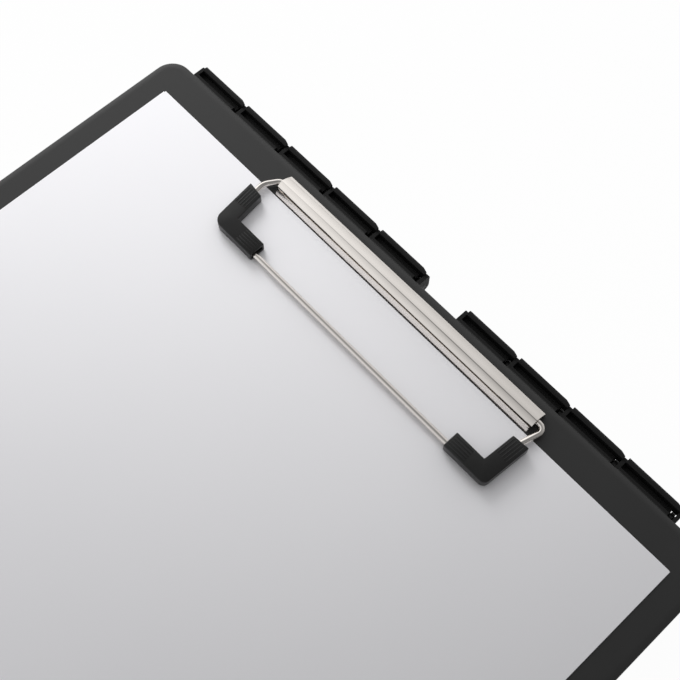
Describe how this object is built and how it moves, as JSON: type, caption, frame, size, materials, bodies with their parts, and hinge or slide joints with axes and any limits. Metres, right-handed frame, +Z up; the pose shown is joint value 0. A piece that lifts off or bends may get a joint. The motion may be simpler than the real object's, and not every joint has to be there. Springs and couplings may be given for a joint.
{
  "type": "storage clipboard box",
  "caption": "Slim black storage box whose hinged lid is a clipboard, with a low metal clip, a sprung wire bail and corner grips.",
  "frame": {"origin": "middle of the closed box on the table", "axes": "+Y towards the hinge and the clip, +Z up out of the writing face, +X to the right of a reader at the front"},
  "size_m": [0.2346, 0.3092, 0.0261],
  "materials": {
    "black_plastic": "fine moulded grain",
    "black_rod": "black oxide",
    "nickel_plate": "bright nickel plate",
    "steel": "plain",
    "nickel_wire": "bright nickel plate",
    "black_grip": "satin",
    "white_paper": "plain uncoated"
  },
  "bodies": {
    "tray": {"base_tray": "black_plastic", "hinge_rod_left": "black_rod", "hinge_rod_right": "black_rod"},
    "lid": {"lid_board": "black_plastic", "clip_base_plate": "nickel_plate", "clip_cover": "nickel_plate", "clip_rivets": "steel", "rivet_washers": "steel", "spring_left": "steel", "spring_right": "steel", "paper_sheet": "white_paper"},
    "bail": {"bail_wire": "nickel_wire", "grip_left": "black_grip", "grip_right": "black_grip"}
  },
  "joints": [
    {"name": "lid_swing", "type": "hinge", "parent": "tray", "child": "lid", "pos_m": [0, 0.15192, 0.0155], "axis": [-1, 0, 0], "range_deg": [0, 180]},
    {"name": "bail_lift", "type": "hinge", "parent": "lid", "child": "bail", "pos_m": [0, 0.14242, 0.02375], "axis": [-1, 0, 0], "range_deg": [0, 90], "stiffness_Nm_per_rad": 0.06, "springref_deg": -34.38, "deforming": ["spring_left", "spring_right"]}
  ]
}
